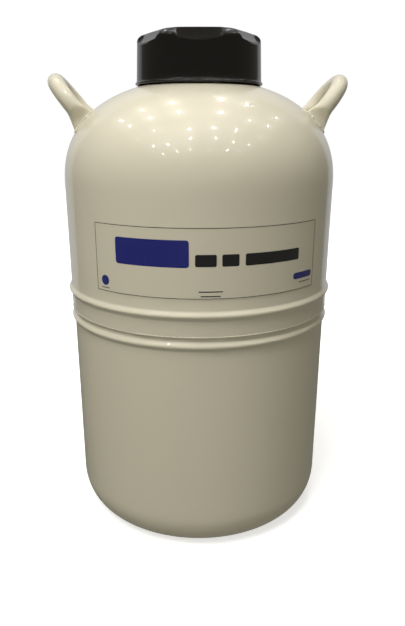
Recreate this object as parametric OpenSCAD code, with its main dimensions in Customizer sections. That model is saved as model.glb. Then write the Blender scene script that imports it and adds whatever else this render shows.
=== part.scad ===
// Liquid nitrogen storage dewar: a vacuum-jacketed aluminium vessel with six canisters.
// The origin is on the axis, at the level that it stands on. The handles lie along X,
// and the decal faces -Y. All sizes are in millimetres.

/* [Outer shell] */
// Outer radius of the upper shell
shell_r = 180.5; // [178:0.5:183]
// Sheet thickness of the outer shell
shell_t = 2; // [1.6:0.1:2.4]
// Height where the straight wall ends and the shoulder starts
shoulder_z = 467.6; // [464:0.2:471]
// Height of the shoulder dome above that
shoulder_h = 130; // [127:0.5:130]
// Fullness of the shoulder curve, where 2 is an ellipse
shoulder_power = 2.3; // [2.2:0.02:2.34]
// Height of the upper shell's lower edge, which laps over the lower shell
seam_z = 303; // [301:0.5:305]
// Height of the stiffening bead in the upper shell
upper_bead_z = 329; // [327:0.5:331]
// Height of the stiffening bead in the lower shell
lower_bead_z = 290.4; // [288:0.2:292]
// How far each bead stands out
bead_out = 3.5; // [3:0.1:4]
// Height of each bead
bead_h = 14; // [12:0.5:15]
// Width of the rounded bottom corner, along the radius
corner_w = 34; // [30:1:38]
// Height of the rounded bottom corner
corner_h = 48; // [44:1:52]

/* [Neck and inner vessel] */
// Inner radius of the neck tube
neck_r = 27.7; // [27.4:0.1:28]
// Height of the neck tube's rim
neck_top = 604; // [602:0.5:605]
// Outer radius of the inner vessel
vessel_r = 147; // [145:0.5:148]
// Height of the inner vessel's lowest point
vessel_z = 52; // [50:0.5:54]
// Overall height of the inner vessel
vessel_h = 353; // [351:0.5:355]
// Height of each domed end of the inner vessel
vessel_dome_h = 60; // [58:0.5:62]
// Sheet thickness of the inner vessel
vessel_t = 2; // [1.6:0.1:2.2]
// Fullness of the inner vessel's lower end, where 2 is an ellipse
vessel_power = 4; // [3.6:0.1:4.4]

/* [Canisters] */
// Number of canisters
canister_count = 6; // [6]
// Outer radius of a canister
canister_r = 20.85; // [20:0.05:21]
// Height of a canister
canister_h = 279; // [270:1:280]
// Radius of the circle that the canisters stand on
canister_ring_r = 62; // [61:0.5:63]
// Radius of a canister's lifting rod
rod_r = 1.5; // [1.2:0.1:1.6]

/* [Cap] */
// Outer radius of the cap's lip
cap_lip_r = 83.1; // [82:0.1:84]
// Height of the cap's lower edge
cap_z = 590.5; // [590.4:0.1:592]
// Height of the cap's top
cap_top = 652; // [651:0.5:654]
// Angle that the cap is turned about the axis
cap_turn = -3; // [-5:1:5]
// Height of the foam plug's lower end
plug_z = 455; // [440:5:480]
// Radius of the foam plug
plug_r = 25.2; // [24.8:0.1:25.3]

/* [Handles and decal] */
// Outer radius of a handle's tube
handle_r = 10.5; // [9:0.5:11]
// Half of the distance between the two legs of a handle
handle_half = 37; // [34:1:40]
// Angle of a handle above the horizontal
handle_tilt = 52; // [50:1:54]
// Height of the decal's lower edge
decal_z = 349; // [345:1:352]
// Height of the decal
decal_h = 84.5; // [80:0.5:88]
// Angle round the shell that the decal covers
decal_angle = 96; // [80:1:110]
// Angle that the decal's middle is off the front
decal_turn = 1.2; // [-3:0.1:3]

/* [Hidden] */
$fn = 96;

fit_gap = 0.05;    // between faces that are bonded or welded together
run_gap = 0.3;     // between pieces that move past each other
past = 1;          // how far a cutting shape runs past the face that it cuts
cream = "#e4dcc8";
bare_metal = "#b9bcbe";
black = "#16171a";

lower_r = shell_r - shell_t - fit_gap;
lower_top = seam_z + 15;
weld_w = 3;        // width and height of the weld under the upper shell's edge
weld_h = 2.4;
recess_r = 96;     // the raised middle of the base
recess_h = 4;
recess_slope = 9;

hole_r = 40;                       // hole in the shoulder for the neck collar
tube_t = 1.5;
tube_r = neck_r + tube_t;
vessel_top = vessel_z + vessel_h;
vessel_mid = vessel_z + vessel_h / 2;
floor_r = 100;     // the flat middle of the lower vessel
wrap_gap = 1.6;    // between the inner vessel and its insulation
wrap_t = 20;       // from the inner vessel to the outside of its insulation
ring_r = 46;                       // index ring on the neck's rim
ring_h = 8;
collar_z = 574;
collar_seat_z = shoulder_height(hole_r) + 0.6;

canister_t = 0.9;
canister_floor = 1.2;
spider_z = vessel_z + 8;
spider_t = 2;
spider_drop = (vessel_dome_h - 8) / (vessel_dome_h - vessel_t);
spider_r = (vessel_r - vessel_t)
    * pow(1 - pow(spider_drop, vessel_power), 1 / vessel_power) - 1;
fin_in = 32;
fin_out = 84;
fin_h = 18;
canister_z = spider_z + spider_t + run_gap;
canister_top = canister_z + canister_h;

rod_at = neck_r - rod_r - 0.5;     // where a rod runs down the neck
hook_at = ring_r + rod_r + 2.5;    // where its hook turns down outside the ring
hook_z = neck_top + 5;
bend_z = vessel_top - 37;          // stays below the neck tube when the rod is lifted
strap_at = canister_ring_r - canister_r - rod_r;
strap_low = canister_top - 34;
rivet_r = 1.2;
rivet_heights = [strap_low + 6, canister_top - 8];

cap_wall = 3;
cap_wall_top_r = cap_lip_r - 3.8;
cap_corner = 10;
cap_ceiling = cap_top - 3.5;
cap_boss_z = cap_top - 10.5;
insert_r = 22;
insert_t = 2;
bolt_r = 3;
bolt_head_z = cap_top - 7;
disc_t = 4;
grip_low_z = cap_top - 16.5;       // lower edge of each grip facet
grip_top_r = 70;                   // radius of each facet's upper edge

port_r = 118;                      // vacuum port, at the back of the shoulder
port_tube_r = 12;
port_bore_r = 8;
port_tilt = 28.4;
port_up = 7;

leg_h = 27.2;
foot_x = 145.4;
foot_z = 544;
foot_t = 7;
foot_w = 34;

// Points on a rounded end: half-width r, height h, from the widest place at height z
// up to radius stop_r, or downwards when h is negative.
function rounded_end(r, h, z, power, stop_r, steps) =
    let (last = acos(pow(stop_r / r, power / 2)))
    [for (i = [0:steps]) let (a = last * i / steps)
        [r * pow(cos(a), 2 / power), z + h * pow(sin(a), 2 / power)]];

// Points on a rolled bead in a wall of radius r, from its lower edge up
function bead(r, z) =
    [for (i = [0:10]) [r + bead_out * (1 - cos(36 * i)) / 2, z + bead_h * (i / 10 - 0.5)]];

function backwards(points) = [for (i = [len(points) - 1:-1:0]) points[i]];

function shoulder(r, h, stop_r) =
    rounded_end(r, h, shoulder_z, shoulder_power, stop_r, 20);

function shoulder_height(r) =
    shoulder_z + shoulder_h * pow(1 - pow(r / shell_r, shoulder_power), 1 / shoulder_power);

// Turns a child that faces +X to face the angle a, counted from -Y towards +X
module at_angle(a) { rotate(a - 90) children(); }

module sheet(outer, inner) {
    rotate_extrude() polygon(concat(outer, backwards(inner)));
}

module ring(inner, outer, low, high) {
    rotate_extrude() translate([inner, low]) square([outer - inner, high - low]);
}

// The frame of the vacuum port: origin on the shoulder, +Z straight out of it
module port_frame() {
    translate([0, port_r, shoulder_height(port_r)]) rotate([-port_tilt, 0, 0]) children();
}

function upper_side(inset) = concat(
    [[shell_r - inset, seam_z]],
    bead(shell_r - inset, upper_bead_z),
    shoulder(shell_r - inset, shoulder_h - inset, hole_r));

module outer_shell_upper() {
    color(cream) difference() {
        sheet(upper_side(0), upper_side(shell_t));
        port_frame() translate([0, 0, -15]) cylinder(r = port_tube_r + fit_gap, h = 30);
    }
}

function lower_side(inset) = concat(
    [[0, recess_h + inset], [recess_r, recess_h + inset], [recess_r + recess_slope, inset]],
    backwards(rounded_end(corner_w - inset, inset - corner_h, 0, 2, 0, 10)) +
        [for (i = [0:10]) [lower_r - corner_w, corner_h]],
    bead(lower_r - inset, lower_bead_z),
    [[lower_r - inset, lower_top]]);

module outer_shell_lower() {
    color(cream) sheet(lower_side(0), lower_side(shell_t));
}

module girth_weld() {
    low = seam_z - fit_gap - weld_h;
    color(cream) rotate_extrude() polygon([
        [lower_r + fit_gap, low], [lower_r + weld_w * 0.6, low + weld_h * 0.15],
        [lower_r + weld_w, low + weld_h * 0.5], [lower_r + weld_w, low + weld_h],
        [lower_r + fit_gap, low + weld_h]]);
}

module neck_collar() {
    color(bare_metal) {
        ring(tube_r + fit_gap, hole_r - fit_gap, collar_z, neck_top);
        ring(hole_r - past, 46.5, collar_seat_z, collar_seat_z + 3);
    }
}

module neck_tube() {
    color("#b7a56e") ring(neck_r, tube_r, vessel_top - 6, neck_top);
}

module index_ring() {
    color(black) difference() {
        ring(neck_r + 0.3, ring_r, neck_top + fit_gap, neck_top + ring_h);
        for (i = [0:canister_count - 1]) at_angle(60 * i)
            translate([0, -rod_r - 0.4, hook_z - rod_r - run_gap])
                cube([ring_r + past, 2 * rod_r + 0.8, ring_h]);
    }
}

function vessel_upper_end(grow, stop_r) =
    rounded_end(vessel_r + grow, vessel_dome_h + grow, vessel_top - vessel_dome_h, 2, stop_r, 14);

function vessel_lower_end(grow) =
    rounded_end(vessel_r + grow, -vessel_dome_h - grow, vessel_z + vessel_dome_h,
        vessel_power, 0, 18);

module inner_vessel_upper() {
    edge_z = vessel_mid + fit_gap / 2;
    color(bare_metal) sheet(
        concat([[vessel_r, edge_z]], vessel_upper_end(0, 36.05)),
        concat([[vessel_r - vessel_t, edge_z]], vessel_upper_end(-vessel_t, 36.05)));
}

// Half of the lower vessel's section, from its open edge to the axis
module vessel_lower_section() {
    edge_z = vessel_mid - fit_gap / 2;
    polygon(concat([[vessel_r, edge_z]], vessel_lower_end(0),
        backwards(concat([[vessel_r - vessel_t, edge_z]], vessel_lower_end(-vessel_t)))));
}

module inner_vessel_lower() {
    color(bare_metal) rotate_extrude() difference() {
        vessel_lower_section();
        translate([-past, 0]) square([floor_r + fit_gap + past, vessel_mid - 20]);
    }
}

module inner_vessel_floor() {
    color(bare_metal) rotate_extrude() intersection() {
        vessel_lower_section();
        square([floor_r, vessel_mid - 20]);
    }
}

module inner_weld() {
    ring_in = vessel_r + fit_gap;
    color(bare_metal) rotate_extrude() polygon([
        [ring_in, vessel_mid - 2.5], [ring_in + 1, vessel_mid - 1.5],
        [ring_in + 1, vessel_mid + 1.5], [ring_in, vessel_mid + 2.5]]);
}

module inner_neck_ring() {
    color(bare_metal) ring(tube_r + fit_gap, 36, vessel_top - 8, vessel_top + 8);
}

module insulation_blanket() {
    color("#c9ccd0") rotate_extrude() difference() {
        polygon(concat(backwards(vessel_lower_end(wrap_t)), vessel_upper_end(wrap_t, 0)));
        polygon(concat(backwards(vessel_lower_end(wrap_gap)), vessel_upper_end(wrap_gap, 0)));
        translate([-past, vessel_top - 20]) square([38 + past, 60]);
        translate([-past, vessel_z - 13]) square([31 + past, 14]);
    }
}

module adsorbent_cup() {
    color(bare_metal) difference() {
        translate([0, 0, vessel_z - 12]) cylinder(r = 30, h = 12 - fit_gap);
        translate([0, 0, vessel_z - 10]) cylinder(r = 28, h = 8);
    }
}

module vacuum_port() {
    color(cream) port_frame() difference() {
        translate([0, 0, -8]) cylinder(r = port_tube_r, h = 8 + port_up);
        translate([0, 0, -8 - past]) cylinder(r = port_bore_r, h = 20);
    }
}

module vacuum_plug() {
    color(bare_metal) port_frame() difference() {
        union() {
            translate([0, 0, -4]) cylinder(r = port_bore_r - fit_gap, h = port_up + 5);
            translate([0, 0, port_up + fit_gap]) cylinder(r = port_tube_r - 1, h = 2);
        }
        translate([0, 0, -1]) rotate_extrude()
            translate([port_bore_r - 1.6, -0.9]) square([3, 1.8]);
    }
}

module vacuum_plug_seal() {
    color(black) port_frame() translate([0, 0, -1]) rotate_extrude()
        translate([port_bore_r - 0.85, 0]) circle(0.7);
}

module vacuum_port_cap() {
    color(black) port_frame() difference() {
        translate([0, 0, 2]) cylinder(r = port_tube_r + 2.5, h = port_up + 4);
        translate([0, 0, 2 - past]) cylinder(r = port_tube_r + fit_gap, h = port_up + 2.5);
    }
}

module spider_plate() {
    color(bare_metal) difference() {
        translate([0, 0, spider_z]) cylinder(r = spider_r, h = spider_t);
        for (i = [0:canister_count - 1]) at_angle(60 * i + 30)
            translate([16, 0, spider_z - past]) cylinder(r = 3, h = spider_t + 2 * past);
    }
}

module spider_fins() {
    color(bare_metal) for (i = [0:canister_count - 1]) at_angle(60 * i + 30)
        translate([fin_in, -1, spider_z + spider_t + fit_gap])
            cube([fin_out - fin_in, 2, fin_h]);
}

module canister(i) {
    color(bare_metal) at_angle(60 * (i - 1)) difference() {
        translate([canister_ring_r, 0, canister_z]) difference() {
            cylinder(r = canister_r, h = canister_h);
            translate([0, 0, canister_floor])
                cylinder(r = canister_r - canister_t, h = canister_h);
            for (a = [0:60:300]) rotate(a) translate([11, 0, -past]) cylinder(r = 2, h = 5);
        }
        for (z = rivet_heights) translate([strap_at, 0, z]) rotate([0, 90, 0])
            cylinder(r = rivet_r + fit_gap, h = 6);
    }
}

// A round rod between two points [distance from the axis, height]
module rod(from, to) {
    run = to - from;
    translate([from[0], 0, from[1]]) rotate([0, atan2(run[0], run[1]), 0])
        cylinder(r = rod_r, h = norm(run), $fn = 48);
    translate([to[0], 0, to[1]]) sphere(rod_r + 0.1, $fn = 48);
}

module canister_rod(i) {
    route = [[strap_at, strap_low], [strap_at, canister_top - 4], [rod_at, bend_z],
        [rod_at, hook_z], [hook_at, hook_z], [hook_at, hook_z - 9]];
    color(bare_metal) at_angle(60 * (i - 1)) {
        for (n = [1:len(route) - 1]) rod(route[n - 1], route[n]);
        for (z = rivet_heights) translate([strap_at, 0, z]) rotate([0, 90, 0]) {
            cylinder(r = rivet_r, h = rod_r + canister_t + 0.6);
            translate([0, 0, rod_r + canister_t + fit_gap]) cylinder(r = 2.2, h = 0.9);
        }
    }
}

// Cuts one grip facet into the cap's upper edge, facing +X
module grip_facet() {
    reach = 20;
    slope = (grip_low_z - cap_top) / (cap_wall_top_r - grip_top_r);
    intersection() {
        rotate([90, 0, 0]) linear_extrude(80, center = true) polygon([
            [grip_top_r, cap_top], [cap_wall_top_r, grip_low_z],
            [cap_wall_top_r + reach, grip_low_z],
            [cap_wall_top_r + reach, cap_top + past],
            [grip_top_r + past / slope, cap_top + past]]);
        translate([0, 0, grip_low_z - past]) linear_extrude(30) polygon([
            [grip_top_r - 2, -21], [cap_lip_r + 2, -34],
            [cap_lip_r + 2, 34], [grip_top_r - 2, 21]]);
    }
}

module cap_outside() {
    rotate_extrude() polygon(concat(
        [[0, cap_z], [cap_lip_r, cap_z], [cap_lip_r, cap_z + 3], [cap_lip_r - 1.6, cap_z + 3.4]],
        rounded_end(cap_corner, cap_corner, 0, 2, 0, 8) +
            [for (i = [0:8]) [cap_wall_top_r - cap_corner, cap_top - cap_corner]],
        [[0, cap_top]]));
}

module cap_inside() {
    rotate_extrude() polygon([
        [0, cap_z - past], [cap_lip_r - cap_wall - 1.6, cap_z - past],
        [cap_wall_top_r - cap_wall, cap_top - 24], [cap_wall_top_r - 15, cap_ceiling],
        [0, cap_ceiling]]);
}

module cap_shell() {
    color(black) difference() {
        union() {
            rotate(cap_turn) {
                difference() {
                    cap_outside();
                    cap_inside();
                    for (i = [0:5]) at_angle(60 * i) grip_facet();
                }
                for (i = [0:2]) at_angle(30 + 120 * i)
                    translate([33, -2, neck_top + ring_h + run_gap])
                        cube([44, 4, cap_ceiling - neck_top - ring_h]);
                at_angle(0) translate([cap_lip_r - 5, -14, cap_z - 0.8]) cube([4, 28, 2.8]);
            }
            translate([0, 0, cap_boss_z]) cylinder(r = 23.5, h = 9);
        }
        translate([0, 0, cap_top - insert_t - 0.2]) cylinder(r = insert_r + 0.2, h = 5);
        translate([0, 0, bolt_head_z]) cylinder(r = 8, h = 10);
        translate([0, 0, cap_boss_z - past]) cylinder(r = bolt_r + fit_gap, h = 10);
    }
}

module cap_insert() {
    color("#2b2d31") translate([0, 0, cap_top - insert_t - 0.15])
        cylinder(r = insert_r, h = insert_t);
}

module plug_bolt() {
    color(bare_metal) {
        translate([0, 0, bolt_head_z + fit_gap]) cylinder(r = 6.3, h = 4, $fn = 6);
        translate([0, 0, cap_boss_z - 14]) cylinder(r = bolt_r, h = 18);
    }
}

module plug_disc() {
    color("#3a3b3e") difference() {
        translate([0, 0, cap_boss_z - disc_t - fit_gap]) cylinder(r = 23.5, h = disc_t);
        translate([0, 0, cap_boss_z - 10]) cylinder(r = bolt_r + fit_gap, h = 20);
    }
}

module neck_plug() {
    top = cap_boss_z - disc_t - 2 * fit_gap;
    color("#e9e3cf") difference() {
        translate([0, 0, plug_z]) cylinder(r = plug_r, h = top - plug_z);
        for (i = [0:canister_count - 1]) at_angle(60 * i)
            translate([rod_at, 0, plug_z - past])
                cylinder(r = rod_r + 0.7, h = top - plug_z + 2 * past);
        translate([0, 0, top - 12]) cylinder(r = bolt_r + 0.5, h = 20);
    }
}

// One handle, on the +X side: a bent tube with two flattened, fanned feet
module handle() {
    color(cream) difference() {
        translate([foot_x, 0, foot_z]) rotate([0, 90 - handle_tilt, 0]) {
            translate([0, 0, leg_h]) rotate([90, 0, 90]) rotate_extrude(angle = 180)
                translate([handle_half, 0]) circle(handle_r);
            for (side = [-1, 1]) translate([0, side * handle_half, 0]) {
                translate([0, 0, 14]) cylinder(r = handle_r, h = leg_h - 14);
                rotate([90, 0, 0]) linear_extrude(foot_t, center = true) polygon([
                    [-foot_w / 2, -24], [foot_w / 2, -24], [foot_w / 2, 2],
                    [handle_r, 20], [-handle_r, 20], [-foot_w / 2, 2]]);
            }
        }
        rotate_extrude() polygon(concat([[0, shoulder_z - 40], [shell_r, shoulder_z - 40]],
            shoulder(shell_r + fit_gap, shoulder_h + fit_gap, 0)));
    }
}

module handle_right() { handle(); }

module handle_left() { mirror([1, 0, 0]) handle(); }

module name_decal() {
    color("#d9d3bf") rotate(-90 + decal_turn - decal_angle / 2) rotate_extrude(angle = decal_angle)
        translate([shell_r + fit_gap, decal_z]) square([0.2, decal_h]);
}

outer_shell_upper();
outer_shell_lower();
girth_weld();
neck_collar();
neck_tube();
index_ring();
inner_vessel_upper();
inner_vessel_lower();
inner_vessel_floor();
inner_weld();
inner_neck_ring();
insulation_blanket();
adsorbent_cup();
vacuum_port();
vacuum_plug();
vacuum_plug_seal();
vacuum_port_cap();
spider_plate();
spider_fins();
for (i = [1:canister_count]) {
    canister(i);
    canister_rod(i);
}
cap_shell();
cap_insert();
plug_bolt();
plug_disc();
neck_plug();
handle_left();
handle_right();
name_decal();
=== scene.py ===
import math
import random

import bmesh
import bpy
from mathutils import Matrix, Vector, noise


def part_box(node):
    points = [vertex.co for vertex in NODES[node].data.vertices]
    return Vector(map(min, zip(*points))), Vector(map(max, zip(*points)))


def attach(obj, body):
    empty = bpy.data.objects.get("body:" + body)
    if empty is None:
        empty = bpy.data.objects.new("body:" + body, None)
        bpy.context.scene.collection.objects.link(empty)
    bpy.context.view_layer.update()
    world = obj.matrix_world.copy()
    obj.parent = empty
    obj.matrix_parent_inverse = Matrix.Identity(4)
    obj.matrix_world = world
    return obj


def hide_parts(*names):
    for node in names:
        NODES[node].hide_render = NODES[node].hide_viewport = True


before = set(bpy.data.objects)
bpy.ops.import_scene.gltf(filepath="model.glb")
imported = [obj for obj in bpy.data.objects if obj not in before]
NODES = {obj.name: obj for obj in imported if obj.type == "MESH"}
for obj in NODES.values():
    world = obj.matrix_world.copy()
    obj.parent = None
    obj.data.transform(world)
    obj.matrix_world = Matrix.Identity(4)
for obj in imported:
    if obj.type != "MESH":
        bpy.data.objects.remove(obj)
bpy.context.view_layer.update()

# ---------------------------------------------------------------- sizes, in metres

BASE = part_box("outer_shell_lower")[0].z
SHELL_R = 0.1805                       # outer radius of the upper shell
SHELL_T = 0.002
LOWER_R = SHELL_R - SHELL_T - 0.00005
LOWER_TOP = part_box("outer_shell_lower")[1].z
SEAM_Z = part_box("outer_shell_upper")[0].z
SHOULDER_Z = 0.4676                    # where the shoulder starts
SHOULDER_H = 0.130
SHOULDER_POWER = 2.30
NECK_HOLE_R = 0.040
UPPER_BEAD_Z = 0.329
LOWER_BEAD_Z = 0.2904
BEAD_OUT = 0.0035
BEAD_H = 0.014
CORNER_W = 0.034
CORNER_H = 0.048
RECESS_R = 0.096
RECESS_H = 0.004
RECESS_SLOPE = 0.009

CAP_LOW = 0.5905                       # the cap's lower edge
CAP_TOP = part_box("cap_shell")[1].z
CAP_LIP_R = 0.0831
CAP_TURN = math.radians(-3)

HANDLE_R = 0.0105
HANDLE_HALF = 0.037                    # half of the distance between a handle's legs
HANDLE_TILT = math.radians(52)
LEG_H = 0.0272
FOOT_X = 0.1454
FOOT_Z = 0.544
FOOT_THIN = 0.0035
FOOT_WIDE = 0.0175
FOOT_LOW = -0.004                      # where a foot starts, along its leg
FOOT_SINK = 0.0012                     # how far a foot reaches into the shoulder
LEG_STEP = 0.0013

DECAL_R = SHELL_R + 0.0002
DECAL_TURN = math.radians(1.2)

# ---------------------------------------------------------------- mesh helpers


def finish_mesh(bm, name, material, body, angle=38):
    """Turns a bmesh into a smooth-shaded object that rides on a body."""
    bmesh.ops.remove_doubles(bm, verts=bm.verts, dist=1e-7)
    bmesh.ops.recalc_face_normals(bm, faces=bm.faces)
    mesh = bpy.data.meshes.new(name)
    bm.to_mesh(mesh)
    bm.free()
    mesh.shade_smooth()
    mesh.set_sharp_from_angle(angle=math.radians(angle))
    mesh.materials.append(material)
    piece = bpy.data.objects.new(name, mesh)
    bpy.context.scene.collection.objects.link(piece)
    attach(piece, body)
    return piece


def grid_faces(bm, rows, close_rows=False, close_columns=True):
    """Quads between rows of vertices; each row is a closed loop when close_columns is true."""
    count = len(rows)
    for i in range(count if close_rows else count - 1):
        low, high = rows[i], rows[(i + 1) % count]
        width = len(low)
        for j in range(width if close_columns else width - 1):
            k = (j + 1) % width
            corners = []
            for v in (low[j], low[k], high[k], high[j]):
                if v not in corners:
                    corners.append(v)
            if len(corners) > 2:
                bm.faces.new(corners)


def lathe(name, profile, material, body, steps=192, closed=False, ripple=None, angle=38):
    """Revolves (radius, height) points about Z. ripple(radius, height, angle) shifts a radius."""
    bm = bmesh.new()
    rows = []
    for r, z in profile:
        if r < 1e-6:
            rows.append([bm.verts.new((0, 0, z))] * steps)
            continue
        row = []
        for j in range(steps):
            a = 2 * math.pi * j / steps
            rr = r + (ripple(r, z, a) if ripple else 0)
            row.append(bm.verts.new((rr * math.cos(a), rr * math.sin(a), z)))
        rows.append(row)
    grid_faces(bm, rows, close_rows=closed)
    return finish_mesh(bm, name, material, body, angle)


def tube(name, points, radius, material, body, sides=12, closed=True, out=None):
    """A round bead along points. radius(i) is the radius at point i, out(i) points off the surface."""
    bm = bmesh.new()
    rows = []
    count = len(points)
    for i, p in enumerate(points):
        ahead = points[(i + 1) % count] if closed or i < count - 1 else p
        behind = points[i - 1] if closed or i > 0 else p
        along = (ahead - behind).normalized()
        up = out(i)
        side = along.cross(up).normalized()
        up = side.cross(along).normalized()
        rows.append([
            bm.verts.new(p + radius(i) * (math.cos(t) * side + math.sin(t) * up))
            for t in [2 * math.pi * j / sides for j in range(sides)]])
    grid_faces(bm, rows, close_rows=closed)
    if not closed:
        bm.faces.new(rows[0])
        bm.faces.new(rows[-1])
    return finish_mesh(bm, name, material, body, 80)


def block(name, low, high, material, body, bevel=0.0008, turn=0.0):
    """A box with rounded edges between two corners, turned about the Z axis."""
    bm = bmesh.new()
    bmesh.ops.create_cube(bm, size=1)
    for v in bm.verts:
        v.co = Vector(low[k] + (high[k] - low[k]) * (v.co[k] + 0.5) for k in range(3))
    bmesh.ops.bevel(bm, geom=bm.edges[:], offset=bevel, segments=3, affect="EDGES", profile=0.5)
    bmesh.ops.rotate(bm, verts=bm.verts, cent=(0, 0, 0), matrix=Matrix.Rotation(turn, 3, "Z"))
    return finish_mesh(bm, name, material, body, 30)


def smooth_step(low, high, x):
    t = min(1.0, max(0.0, (x - low) / (high - low)))
    return t * t * (3 - 2 * t)


def soft_min(a, b, k):
    """The lower of two heights, rounded where they meet."""
    h = max(0.0, min(1.0, 0.5 + 0.5 * (b - a) / k))
    return b + (a - b) * h - k * h * (1 - h)


# ---------------------------------------------------------------- materials


class Shader:
    """Builds one node material, a few nodes at a time."""

    def __init__(self, name, **values):
        self.material = bpy.data.materials.new(name)
        self.material.use_nodes = True
        self.tree = self.material.node_tree
        self.surface = self.tree.nodes["Principled BSDF"]
        for key, value in values.items():
            self.surface.inputs[key.replace("_", " ")].default_value = value
        coords = self.tree.nodes.new("ShaderNodeTexCoord")
        self.place = coords.outputs["Object"]
        self.height = None

    def stretch(self, scale):
        """Coordinates scaled by (x, y, z)."""
        node = self.tree.nodes.new("ShaderNodeMapping")
        node.inputs["Scale"].default_value = scale
        self.tree.links.new(self.place, node.inputs["Vector"])
        return node.outputs["Vector"]

    def texture(self, kind, scale, detail=2.0, roughness=0.5, place=None, output=None, **settings):
        node = self.tree.nodes.new("ShaderNodeTex" + kind)
        node.inputs["Scale"].default_value = scale
        if kind == "Noise":
            node.inputs["Detail"].default_value = detail
            node.inputs["Roughness"].default_value = roughness
        for key, value in settings.items():
            setattr(node, key, value)
        self.tree.links.new(place or self.place, node.inputs["Vector"])
        return node.outputs[output or ("Distance" if kind == "Voronoi" else 0)]

    def ramp(self, value, stops):
        """Maps a value through colour stops [(position, colour or grey), ...]."""
        node = self.tree.nodes.new("ShaderNodeValToRGB")
        elements = node.color_ramp.elements
        while len(elements) < len(stops):
            elements.new(0.5)
        for element, (position, colour) in zip(elements, stops):
            element.position = position
            grey = isinstance(colour, (int, float))
            element.color = (colour, colour, colour, 1) if grey else (*colour, 1)
        self.tree.links.new(value, node.inputs["Fac"])
        return node.outputs["Color"]

    def mix(self, share, a, b, blend="MIX"):
        """Mixes two colours; share is a number or an output."""
        node = self.tree.nodes.new("ShaderNodeMix")
        node.data_type = "RGBA"
        node.blend_type = blend
        for socket, value in ((node.inputs[0], share), (node.inputs[6], a), (node.inputs[7], b)):
            if isinstance(value, bpy.types.NodeSocket):
                self.tree.links.new(value, socket)
            elif isinstance(value, tuple):
                socket.default_value = (*value, 1)
            else:
                socket.default_value = value
        return node.outputs[2]

    def link(self, value, key):
        self.tree.links.new(value, self.surface.inputs[key])

    def vary(self, key, scale, detail, stops, roughness=0.5):
        """Varies an input of the surface with noise, through colour stops."""
        self.link(self.ramp(self.texture("Noise", scale, detail, roughness), stops), key)

    def bump(self, value, strength, distance):
        """Adds a layer of bump on top of the ones before it."""
        node = self.tree.nodes.new("ShaderNodeBump")
        node.inputs["Strength"].default_value = strength
        node.inputs["Distance"].default_value = distance
        self.tree.links.new(value, node.inputs["Height"])
        if self.height is not None:
            self.tree.links.new(self.height, node.inputs["Normal"])
        self.height = node.outputs["Normal"]
        self.tree.links.new(self.height, self.surface.inputs["Normal"])


def cream_paint():
    s = Shader("cream_paint", Coat_Weight=0.7, Coat_Roughness=0.05)
    s.vary("Base Color", 5, 2, [(0.0, (0.688, 0.644, 0.512)), (1.0, (0.722, 0.680, 0.550))])
    s.vary("Roughness", 9, 2, [(0.0, 0.25), (1.0, 0.33)])
    s.bump(s.texture("Noise", 330, 2, 0.4), 0.06, 0.0005)
    s.bump(s.texture("Noise", 34, 1, 0.3), 0.06, 0.0030)
    return s.material


def gloss_plastic(name, colour, rough=0.12):
    s = Shader(name, Coat_Weight=0.0, IOR=1.5)
    s.vary("Base Color", 60, 3, [(0.3, colour), (0.7, tuple(c * 1.5 for c in colour))])
    scuffs = s.texture("Noise", 1, 5, 0.7, s.stretch((90, 90, 900)))
    s.link(s.ramp(scuffs, [(0.35, rough), (0.78, rough * 1.6)]), "Roughness")
    s.bump(s.texture("Noise", 240, 3, 0.5), 0.03, 0.0004)
    s.bump(s.texture("Noise", 30, 1, 0.3), 0.05, 0.0020)
    return s.material


def matte_plastic(name, colour, rough=0.48):
    s = Shader(name)
    s.vary("Base Color", 45, 3, [(0.3, colour), (0.7, tuple(c * 1.25 for c in colour))])
    s.vary("Roughness", 160, 3, [(0.3, rough - 0.06), (0.7, rough + 0.08)])
    s.bump(s.texture("Voronoi", 1500), 0.16, 0.0003)
    return s.material


def metal(name, colour, rough, stretch):
    """Metal with fine lines that run across the stretched axis."""
    s = Shader(name, Metallic=1.0)
    lines = s.texture("Noise", 1, 4, 0.6, s.stretch(stretch))
    s.link(s.ramp(lines, [(0.3, tuple(c * 0.86 for c in colour)), (0.7, colour)]), "Base Color")
    s.vary("Roughness", 70, 4, [(0.3, rough - 0.07), (0.7, rough + 0.10)], 0.6)
    s.bump(lines, 0.12, 0.0003)
    return s.material


def glass_fibre():
    s = Shader("glass_fibre", Roughness=0.35, Coat_Weight=0.3)
    weave_a = s.texture("Wave", 520, bands_direction="Z")
    weave_b = s.texture("Wave", 520, bands_direction="X")
    weave = s.mix(0.5, weave_a, weave_b)
    s.link(s.ramp(weave, [(0.2, (0.44, 0.37, 0.16)), (0.8, (0.62, 0.55, 0.30))]), "Base Color")
    s.bump(weave, 0.25, 0.0003)
    return s.material


def foam():
    s = Shader("plug_foam", Roughness=0.85)
    cells = s.texture("Voronoi", 900)
    s.link(s.ramp(cells, [(0.0, (0.80, 0.73, 0.56)), (0.6, (0.88, 0.83, 0.69))]), "Base Color")
    s.bump(cells, 0.5, 0.0006)
    s.bump(s.texture("Noise", 60, 3), 0.15, 0.001)
    return s.material


def foil():
    s = Shader("foil_blanket", Metallic=1.0, Roughness=0.22)
    creases = s.texture("Voronoi", 60, feature="DISTANCE_TO_EDGE")
    s.vary("Base Color", 30, 4, [(0.3, (0.72, 0.73, 0.75)), (0.7, (0.88, 0.89, 0.90))])
    s.bump(creases, 0.6, 0.002)
    return s.material


def rubber():
    s = Shader("seal_rubber", Roughness=0.6)
    s.vary("Base Color", 300, 3, [(0.3, (0.018, 0.018, 0.018)), (0.7, (0.032, 0.031, 0.030))])
    s.bump(s.texture("Noise", 900, 2), 0.2, 0.0002)
    return s.material


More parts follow.
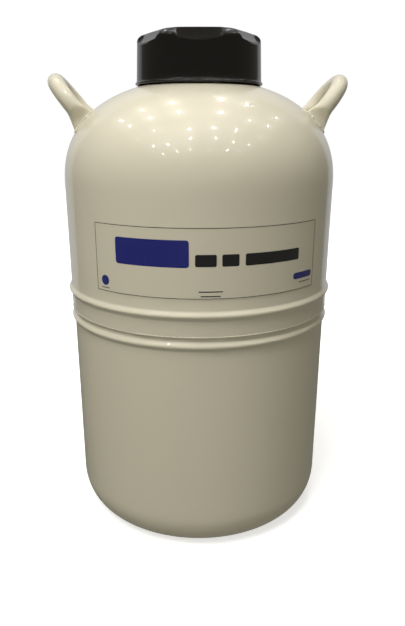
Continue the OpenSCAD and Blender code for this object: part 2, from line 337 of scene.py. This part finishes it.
def decal_film():
    s = Shader("decal_film", Roughness=0.20, Coat_Weight=0.6, Coat_Roughness=0.05)
    s.vary("Base Color", 6, 2, [(0.0, (0.676, 0.632, 0.502)), (1.0, (0.708, 0.666, 0.540))])
    s.bump(s.texture("Noise", 34, 1, 0.3), 0.06, 0.0028)
    return s.material


def ink(name, colour):
    s = Shader(name, Coat_Weight=0.2)
    s.vary("Base Color", 12, 1, [(0.0, tuple(c * 0.9 for c in colour)), (1.0, colour)])
    s.vary("Roughness", 10, 1, [(0.0, 0.24), (1.0, 0.32)])
    s.bump(s.texture("Noise", 34, 1, 0.3), 0.04, 0.0020)
    return s.material


PAINT = cream_paint()
CAP_BLACK = gloss_plastic("black_gloss_plastic", (0.0022, 0.0022, 0.0024), 0.11)
DARK = matte_plastic("black_matte_plastic", (0.012, 0.012, 0.013))
INSERT = matte_plastic("insert_plastic", (0.020, 0.020, 0.022), 0.38)
ALUMINIUM = metal("bare_aluminium", (0.78, 0.79, 0.80), 0.34, (60, 60, 2600))
STEEL = metal("canister_steel", (0.66, 0.66, 0.65), 0.26, (1500, 1500, 40))
FIBRE = glass_fibre()
FOAM = foam()
FOIL = foil()
RUBBER = rubber()
FILM = decal_film()
NAVY = ink("navy_ink", (0.012, 0.018, 0.190))
BLACK_INK = ink("black_ink", (0.010, 0.010, 0.013))

# ---------------------------------------------------------------- outer shells


def rounded_end(r, h, z, power, stop_r, steps):
    """The same curve as in the CAD model, with as many points as the render needs."""
    last = math.acos((stop_r / r) ** (power / 2))
    points = []
    for i in range(steps + 1):
        a = last * i / steps
        points.append((r * math.cos(a) ** (2 / power), z + h * math.sin(a) ** (2 / power)))
    return points


def bead(r, z, steps=20):
    points = []
    for i in range(steps + 1):
        lift = BEAD_OUT * (1 - math.cos(2 * math.pi * i / steps)) / 2
        points.append((r + lift, z + BEAD_H * (i / steps - 0.5)))
    return points


def shoulder_height(r, grow=0.0):
    share = min(1.0, r / (SHELL_R + grow))
    return SHOULDER_Z + (SHOULDER_H + grow) * (1 - share ** SHOULDER_POWER) ** (1 / SHOULDER_POWER)


def wall_waves(r, z, a):
    """The slight unevenness of rolled and spun sheet."""
    p = Vector((3 * math.cos(a), 3 * math.sin(a), 9 * z))
    return 0.00022 * noise.noise(p) + 0.00006 * noise.noise(4 * p)


def upper_shell():
    outer = [(SHELL_R - 0.0004, SEAM_Z), (SHELL_R, SEAM_Z + 0.0004)]
    outer += bead(SHELL_R, UPPER_BEAD_Z)
    # rows up the straight wall, so that the waves have points to move
    outer += [(SHELL_R, UPPER_BEAD_Z + BEAD_H / 2 + 0.01 * i) for i in range(1, 13)]
    outer += rounded_end(SHELL_R, SHOULDER_H, SHOULDER_Z, SHOULDER_POWER, NECK_HOLE_R, 64)
    inner = [(SHELL_R - SHELL_T, SEAM_Z)]
    inner += bead(SHELL_R - SHELL_T, UPPER_BEAD_Z)
    inner += rounded_end(SHELL_R - SHELL_T, SHOULDER_H - SHELL_T, SHOULDER_Z, SHOULDER_POWER,
                         NECK_HOLE_R, 24)
    piece = lathe("upper_shell_sheet", outer + inner[::-1], PAINT, "vessel", closed=True,
                  steps=256, ripple=wall_waves)
    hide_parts("outer_shell_upper")


def lower_outline(inset, steps):
    corner = []
    for i in range(steps + 1):
        a = math.pi / 2 * (i / steps - 1)
        corner.append((LOWER_R - CORNER_W + (CORNER_W - inset) * math.cos(a),
                       CORNER_H + (CORNER_H - inset) * math.sin(a)))
    return [(0, RECESS_H + inset), (RECESS_R, RECESS_H + inset),
            (RECESS_R + RECESS_SLOPE, inset)] + corner


def lower_shell():
    outer = lower_outline(0, 24)
    outer += [(LOWER_R, CORNER_H + 0.0117 * i) for i in range(1, 20)]
    outer += bead(LOWER_R, LOWER_BEAD_Z) + [(LOWER_R, LOWER_TOP)]
    inner = lower_outline(SHELL_T, 10) + bead(LOWER_R - SHELL_T, LOWER_BEAD_Z)
    inner += [(LOWER_R - SHELL_T, LOWER_TOP)]

    def waves(r, z, a):
        return wall_waves(r, z, a) * smooth_step(0, 0.06, z) if r > 0.12 and z > 0.001 else 0

    piece = lathe("lower_shell_sheet", outer + inner[::-1], PAINT, "vessel", steps=256, ripple=waves)
    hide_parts("outer_shell_lower")


def girth_weld():
    """The painted weld that closes the lap of the two shells, with its faint ripples."""
    steps = 720
    ring = LOWER_R + 0.0009
    points = [Vector((ring * math.cos(a), ring * math.sin(a), SEAM_Z - 0.0002))
              for a in [2 * math.pi * i / steps for i in range(steps)]]

    def radius(i):
        a = 2 * math.pi * i / steps
        rough = noise.noise(Vector((14 * math.cos(a), 14 * math.sin(a), 0)))
        return 0.0015 + 0.00016 * math.sin(a * 150) + 0.00030 * rough

    piece = tube("girth_weld_bead", points, radius, PAINT, "vessel", sides=10,
                 out=lambda i: Vector((0, 0, 1)))
    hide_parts("girth_weld")


# ---------------------------------------------------------------- handles


def handle_point(side, half, u, w):
    """A point of a handle: half along Y, u out of the loop's plane, w along the legs."""
    c, s = math.cos(HANDLE_TILT), math.sin(HANDLE_TILT)
    return Vector((side * (FOOT_X + w * c + u * s), half, FOOT_Z + w * s - u * c))


def on_shoulder(side, half, u, below):
    """How far along the leg a line meets the shoulder, less a depth below it."""
    low, high = -0.04, 0.03
    for _ in range(40):
        mid = (low + high) / 2
        p = handle_point(side, half, u, mid)
        under = p.z < shoulder_height(math.hypot(p.x, p.y)) - below
        low, high = (mid, high) if under else (low, mid)
    return (low + high) / 2


def foot_section(w, t):
    """Half-thickness along Y and offset out of plane of a leg's section at height w and turn t."""
    flat = 1 - smooth_step(0.0085, 0.0250, w)
    fan = 1 - smooth_step(-0.004, 0.0260, w)
    thin = HANDLE_R + (FOOT_THIN - HANDLE_R) * flat
    wide = HANDLE_R + (FOOT_WIDE - HANDLE_R) * fan
    power = 2 / (2 + 1.4 * flat)
    c, s = math.cos(t), math.sin(t)
    return (thin * math.copysign(abs(c) ** power, c), wide * math.copysign(abs(s) ** power, s))


def handle(side, name):
    sides = 40
    turns = [2 * math.pi * j / sides for j in range(sides)]
    bm = bmesh.new()
    rows = []

    def leg(sign, heights):
        for w in heights:
            row = []
            for t in turns:
                thin, u = foot_section(FOOT_LOW if w is None else w, t)
                half = sign * HANDLE_HALF + sign * thin
                sunk = on_shoulder(side, half, u, FOOT_SINK)
                at = sunk if w is None else max(w, sunk)
                row.append(bm.verts.new(handle_point(side, half, u, at)))
            rows.append(row)

    heights = [None] + [FOOT_LOW + LEG_STEP * i for i in range(25)]   # None is the sunk edge
    leg(-1, [w for w in heights if w is None or w < LEG_H])
    arc_steps = 36
    for i in range(arc_steps + 1):
        a = math.pi * i / arc_steps
        row = []
        for t in turns:
            reach = HANDLE_HALF + HANDLE_R * math.cos(t)
            row.append(bm.verts.new(handle_point(
                side, -reach * math.cos(a), HANDLE_R * math.sin(t), LEG_H + reach * math.sin(a))))
        rows.append(row)
    leg(1, [w for w in reversed(heights) if w is None or w < LEG_H])
    grid_faces(bm, rows)
    bm.faces.new(rows[0])
    bm.faces.new(rows[-1])
    piece = finish_mesh(bm, name + "_tube", PAINT, "vessel", 60)
    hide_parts(name)
    for k, sign in enumerate((-1, 1)):
        foot_weld(side, sign, f"{name}_weld_{k + 1}")


def foot_weld(side, sign, name):
    """The lumpy painted weld round a handle's foot."""
    steps = 120
    points, normals = [], []
    for i in range(steps):
        thin, u = foot_section(-0.001, 2 * math.pi * i / steps)
        half = sign * (HANDLE_HALF + thin)
        p = handle_point(side, half, u, on_shoulder(side, half, u, 0.0))
        points.append(p)
        r = math.hypot(p.x, p.y)
        slope = (shoulder_height(r + 0.0005) - shoulder_height(r - 0.0005)) / 0.001
        normals.append(Vector((-slope * p.x / r, -slope * p.y / r, 1)).normalized())

    def radius(i):
        lump = noise.noise(points[i] * 260 + Vector((side, sign, 0)) * 7)
        return 0.0021 + 0.0010 * lump + 0.0003 * math.sin(i * 1.3)

    piece = tube(name, points, radius, PAINT, "vessel", sides=12, out=lambda i: normals[i])


# ---------------------------------------------------------------- cap

WALL_LOW_R = 0.0815
WALL_TOP_R = 0.0796
CORNER_START = CAP_TOP - 0.0125        # where the wall starts to round over
FLAT_R = 0.0620                        # radius of the flat middle of the top
GRIP_LOW = CAP_TOP - 0.0165            # lower edge of a grip scoop
GRIP_HALF = 0.0255
GRIP_BACK = 0.0028                     # how far in from the wall a scoop's floor starts to rise
TOP_POWER = 2.3                        # fullness of the curve from the top to the wall
LIP_H = 0.0042                         # height of the lip at the cap's lower edge
INSERT_R = 0.0222
INSERT_DEPTH = 0.0021


def cap_top_height(r):
    """The cap's top without its scoops: flat, then a long curve down to the wall."""
    if r <= FLAT_R:
        return CAP_TOP
    share = min(1.0, (r - FLAT_R) / (WALL_TOP_R - FLAT_R))
    return CORNER_START + (CAP_TOP - CORNER_START) * (1 - share ** TOP_POWER) ** (1 / TOP_POWER)


def scoop_height(r, a):
    """Height of the nearest of the six scoops, at radius r and angle a."""
    step = math.pi / 3
    turned = (a + step / 2) % step - step / 2
    out, across = r * math.cos(turned), abs(r * math.sin(turned))
    ledge = GRIP_LOW + 0.0030 * smooth_step(WALL_TOP_R, WALL_TOP_R - GRIP_BACK, out)
    rise = max(0.0, WALL_TOP_R - GRIP_BACK - out)
    floor = ledge + 0.80 * rise + 7.0 * rise ** 2
    flank = max(0.0, across - GRIP_HALF - 0.25 * rise)
    return floor + 1.35 * flank


def cap_surface(r, a):
    return soft_min(cap_top_height(r), scoop_height(r, a), 0.0012)


def cap_moulding():
    columns = 720
    front = -math.pi / 2 + CAP_TURN
    top_steps = 72
    top_radii = [INSERT_R + (WALL_TOP_R - INSERT_R) * math.sin(math.pi / 2 * i / top_steps)
                 for i in range(top_steps, -1, -1)]
    lip = [(CAP_LIP_R - 0.0030, CAP_LOW), (CAP_LIP_R - 0.0008, CAP_LOW), (CAP_LIP_R, CAP_LOW + 0.0008),
           (CAP_LIP_R, CAP_LOW + 0.0022), (CAP_LIP_R - 0.0005, CAP_LOW + 0.0029),
           (WALL_LOW_R + 0.0004, CAP_LOW + 0.0034), (WALL_LOW_R, CAP_LOW + LIP_H)]
    wall_steps = 16
    bm = bmesh.new()
    lines = []
    for j in range(columns):
        a = 2 * math.pi * j / columns
        edge = cap_surface(WALL_TOP_R, a)
        points = list(lip)
        for i in range(1, wall_steps + 1):
            z = CAP_LOW + LIP_H + (edge - CAP_LOW - LIP_H) * i / wall_steps
            share = (z - CAP_LOW) / (CORNER_START - CAP_LOW)
            points.append((WALL_LOW_R + (WALL_TOP_R - WALL_LOW_R) * min(1, share), z))
        points += [(r, cap_surface(r, a)) for r in top_radii[1:]]
        # the insert's seat, the bolt's hole, then the hollow underside
        points += [(INSERT_R, CAP_TOP - INSERT_DEPTH), (0.008, CAP_TOP - INSERT_DEPTH),
                   (0.008, CAP_TOP - 0.007), (0.0031, CAP_TOP - 0.007), (0.0031, CAP_TOP - 0.0105),
                   (0.0235, CAP_TOP - 0.0105), (0.0235, CAP_TOP - 0.0035), (0.0560, CAP_TOP - 0.0035),
                   (0.0720, CAP_TOP - 0.0210), (0.0772, CAP_TOP - 0.0300)]
        c, s = math.cos(a + front), math.sin(a + front)
        lines.append([bm.verts.new((r * c, r * s, z)) for r, z in points])
    grid_faces(bm, lines, close_rows=True, close_columns=True)
    piece = finish_mesh(bm, "cap_moulding", CAP_BLACK, "cap", 50)
    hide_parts("cap_shell")
    rib_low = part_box("index_ring")[1].z + 0.0003
    for i in range(3):
        turn = math.radians(30 + 120 * i) + front
        rib = block(f"cap_rib_{i + 1}", (0.033, -0.002, rib_low), (0.0745, 0.002, CAP_TOP - 0.012),
                    CAP_BLACK, "cap", 0.0006, turn)
    tab = block("cap_front_tab", (CAP_LIP_R - 0.005, -0.014, CAP_LOW - 0.0008),
                (CAP_LIP_R - 0.001, 0.014, CAP_LOW + 0.002), CAP_BLACK, "cap", 0.0009, front)


# ---------------------------------------------------------------- decal


def printed(name, outline, layer, material):
    """A thin printed shape on the upper shell. outline is [(angle, low z, high z), ...] in radians."""
    inner = DECAL_R + 0.00010 * layer
    outer = inner + 0.00010
    bm = bmesh.new()
    rows = []
    for a, low, high in outline:
        turn = a + DECAL_TURN - math.pi / 2
        c, s = math.cos(turn), math.sin(turn)
        rows.append([bm.verts.new((r * c, r * s, z))
                     for r, z in ((inner, low), (outer, low), (outer, high), (inner, high))])
    grid_faces(bm, rows)
    bm.faces.new(rows[0])
    bm.faces.new(rows[-1])
    piece = finish_mesh(bm, name, material, "vessel", 60)
    return piece


def bar(left, right, low, high, corner):
    """A bar with rounded corners, in degrees and metres."""
    half = (right - left) / 2 * math.pi / 180 * DECAL_R
    middle = math.radians((left + right) / 2)
    corner = min(corner, half * 0.999, (high - low) / 2 * 0.999)
    along = [-half + corner * (1 - math.cos(math.pi / 2 * i / 8)) for i in range(9)]
    count = max(2, int((2 * half - 2 * corner) / 0.004))
    along += [-half + corner + (2 * half - 2 * corner) * i / count for i in range(1, count)]
    along += [-s for s in along[:9][::-1]]
    outline = []
    for s in along:
        over = max(0.0, abs(s) - (half - corner))
        cut = corner - math.sqrt(max(0.0, corner ** 2 - over ** 2))
        cut = min(cut, (high - low) / 2 - 1e-6)
        outline.append((middle + s / DECAL_R, low + cut, high - cut))
    return outline


def decal():
    left, right, low, high = -47.9, 47.9, 0.3490, 0.4335
    film = printed("decal_film_sheet", bar(left, right, low, high, 0.004), 0, FILM)
    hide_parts("name_decal")
    line = 0.00070
    line_turn = math.degrees(line / DECAL_R)
    in_z, in_a = 0.0012, 0.4
    frame_bars = [
        (left + in_a, right - in_a, low + in_z, low + in_z + line),
        (left + in_a, right - in_a, high - in_z - line, high - in_z),
        (left + in_a, left + in_a + line_turn, low + in_z + line, high - in_z - line),
        (right - in_a - line_turn, right - in_a, low + in_z + line, high - in_z - line)]
    for i, (a, b, c, d) in enumerate(frame_bars):
        printed(f"decal_border_{i + 1}", bar(a, b, c, d, 0.0), 1, BLACK_INK)
    printed("decal_navy_bar", bar(-37.0, -7.8, 0.3870, 0.4185, 0.0035), 1, NAVY)
    for i, (a, b) in enumerate(((-5.6, 2.2), (4.2, 10.6), (13.0, 37.3))):
        printed(f"decal_black_bar_{i + 1}", bar(a, b, 0.3882, 0.4022, 0.0020), 1, BLACK_INK)
    printed("decal_disc", bar(-44.9, -40.9, 0.3575, 0.3698, 0.0062), 1, NAVY)
    printed("decal_disc_line", bar(-44.9, -40.9, 0.3540, 0.3550, 0.0004), 1, BLACK_INK)
    printed("decal_oval", bar(34.8, 46.2, 0.3635, 0.3715, 0.0040), 1, NAVY)
    printed("decal_oval_line", bar(38.4, 45.4, 0.3585, 0.3596, 0.0004), 1, BLACK_INK)
    printed("decal_line_1", bar(-4.4, 4.6, 0.3582, 0.3595, 0.0005), 1, BLACK_INK)
    printed("decal_line_2", bar(-3.6, 3.8, 0.3528, 0.3541, 0.0005), 1, BLACK_INK)


# ---------------------------------------------------------------- CAD nodes that stay


def finish_node(name, material, bevel=0.0):
    """Gives a CAD node its material, and soft edges where it has a bevel."""
    node = NODES[name]
    node.data.materials.clear()
    node.data.materials.append(material)
    if bevel:
        rounding = node.modifiers.new("soft_edges", "BEVEL")
        rounding.width = bevel
        rounding.segments = 2
        rounding.limit_method = "ANGLE"
        rounding.angle_limit = math.radians(40)
        rounding.harden_normals = True


def cad_looks():
    for name in ("neck_collar", "inner_vessel_upper", "inner_vessel_lower", "inner_vessel_floor",
                 "inner_weld", "inner_neck_ring", "adsorbent_cup", "spider_plate", "spider_fins"):
        finish_node(name, ALUMINIUM)
    for i in range(1, 7):
        finish_node(f"canister_{i}", STEEL)
        finish_node(f"canister_rod_{i}", STEEL)
    finish_node("neck_tube", FIBRE)
    finish_node("index_ring", DARK, 0.0005)
    finish_node("insulation_blanket", FOIL)
    finish_node("vacuum_port", PAINT)
    finish_node("vacuum_plug", STEEL)
    finish_node("vacuum_plug_seal", RUBBER)
    finish_node("vacuum_port_cap", DARK, 0.0008)
    finish_node("cap_insert", INSERT, 0.0004)
    finish_node("plug_bolt", STEEL)
    finish_node("plug_disc", DARK)
    finish_node("neck_plug", FOAM)


# ---------------------------------------------------------------- camera, lights, floor


def camera():
    """Stands in front and a little to the left, looking down at the vessel."""
    data = bpy.data.cameras.new("camera")
    data.sensor_width = 36
    data.lens = 34.23
    data.shift_x = 0.0056
    data.shift_y = 0.0209
    data.clip_start = 0.05
    eye = bpy.data.objects.new("camera", data)
    turn, away, height, pitch = math.radians(-3), 0.842, 0.537, 0.32
    eye.location = (away * math.sin(turn), -away * math.cos(turn), height)
    eye.rotation_euler = (math.pi / 2 - pitch, 0, turn)
    bpy.context.scene.collection.objects.link(eye)
    bpy.context.scene.camera = eye


def area_light(name, place, target, size, power, colour=(1, 1, 1), shape="SQUARE", size_y=None,
               reflected=True, lights=True):
    """A lamp; reflected=False hides it from mirror-like reflections, lights=False leaves only those."""
    data = bpy.data.lights.new(name, "AREA")
    data.shape = shape
    data.size = size
    if size_y:
        data.size_y = size_y
    data.energy = power
    data.color = colour
    lamp = bpy.data.objects.new(name, data)
    lamp.location = place
    lamp.rotation_euler = (Vector(target) - Vector(place)).to_track_quat("-Z", "Y").to_euler()
    lamp.visible_glossy = reflected
    lamp.visible_diffuse = lights
    bpy.context.scene.collection.objects.link(lamp)


def staged(name, bm, material, camera=True, glossy=False, shadow=False):
    """A floor or backdrop. It throws no light back on the vessel, so the lamps alone shape it."""
    mesh = bpy.data.meshes.new(name)
    bm.to_mesh(mesh)
    bm.free()
    mesh.materials.append(material)
    piece = bpy.data.objects.new(name, mesh)
    bpy.context.scene.collection.objects.link(piece)
    piece.visible_diffuse = False
    piece.visible_camera = camera
    piece.visible_glossy = glossy
    piece.visible_shadow = shadow
    return piece


def glow(name, strength):
    s = Shader(name, Roughness=1.0, Emission_Strength=strength)
    s.vary("Emission Color", 1, 1, [(0.3, 0.99), (0.7, 1.0)])
    s.surface.inputs["Base Color"].default_value = (0, 0, 0, 1)
    s.surface.inputs["Specular IOR Level"].default_value = 0
    return s.material


WARM = (1.0, 0.985, 0.955)
ROOM_R = 5


def room_light():
    scene = bpy.context.scene
    scene.view_settings.view_transform = "Standard"
    world = bpy.data.worlds.new("studio")
    world.use_nodes = True
    sky = world.node_tree.nodes["Background"]
    sky.inputs["Color"].default_value = (1.0, 0.96, 0.79, 1)
    sky.inputs["Strength"].default_value = 0.195
    scene.world = world


def backdrops():
    """The floor, the white around it, and a dim wall that only reflections show."""
    floor_mat = Shader("floor", Roughness=0.8, Emission_Color=(1, 1, 1, 1))
    floor_mat.vary("Base Color", 5, 3, [(0.3, 0.78), (0.7, 0.81)])
    fade = floor_mat.tree.nodes.new("ShaderNodeTexGradient")
    fade.gradient_type = "SPHERICAL"
    floor_mat.tree.links.new(floor_mat.stretch((0.8, 0.8, 0.8)), fade.inputs["Vector"])
    floor_mat.link(floor_mat.ramp(fade.outputs["Fac"], [(0.0, 1.0), (0.8, 0.60)]), "Emission Strength")
    bm = bmesh.new()
    bmesh.ops.create_circle(bm, cap_ends=True, segments=96, radius=ROOM_R)
    floor = staged("floor", bm, floor_mat.material)
    floor.location.z = BASE - 0.0003

    bm = bmesh.new()
    bmesh.ops.create_cone(bm, cap_ends=False, segments=96, radius1=ROOM_R, radius2=ROOM_R, depth=8)
    staged("surround", bm, glow("surround", 1.02))

    bm = bmesh.new()
    bmesh.ops.create_grid(bm, x_segments=1, y_segments=1, size=1)
    back = staged("reflected_wall", bm, glow("reflected_wall", 0.55), camera=False, glossy=True)
    back.scale = (2.6, 1.7, 1)
    back.location = (0, 2.3, 1.2)
    back.rotation_euler = (math.pi / 2, 0, 0)


def lamps():
    """Three soft lights, and a ceiling of small lamps that only reflections show."""
    area_light("key", (-0.9, -1.3, 2.85), (0, 0, 0.3), 1.3, 61, WARM, reflected=False)
    area_light("top", (0.1, -0.2, 3.0), (0, 0, 0.5), 1.3, 27, WARM, reflected=False)
    area_light("low_fill", (-0.3, -1.7, 0.25), (0, 0, 0.22), 0.5, 2.6, WARM, reflected=False)
    random.seed(4)
    for i in range(6):
        for j in range(5):
            x = -1.7 + 0.66 * i + random.uniform(-0.14, 0.14)
            y = -2.3 + 0.80 * j + random.uniform(-0.14, 0.14)
            long = (i + 2 * j) % 4 == 0
            area_light(f"lamp_{i}_{j}", (x, y, 2.5), (x, y, 0), 0.040, 2.2, (1.0, 0.98, 0.94),
                       "ELLIPSE" if long else "DISK", 0.16 if long else None, lights=False)


# ---------------------------------------------------------------- build

camera()
room_light()
backdrops()
lamps()
upper_shell()
lower_shell()
girth_weld()
handle(1, "handle_right")
handle(-1, "handle_left")
cap_moulding()
decal()
cad_looks()
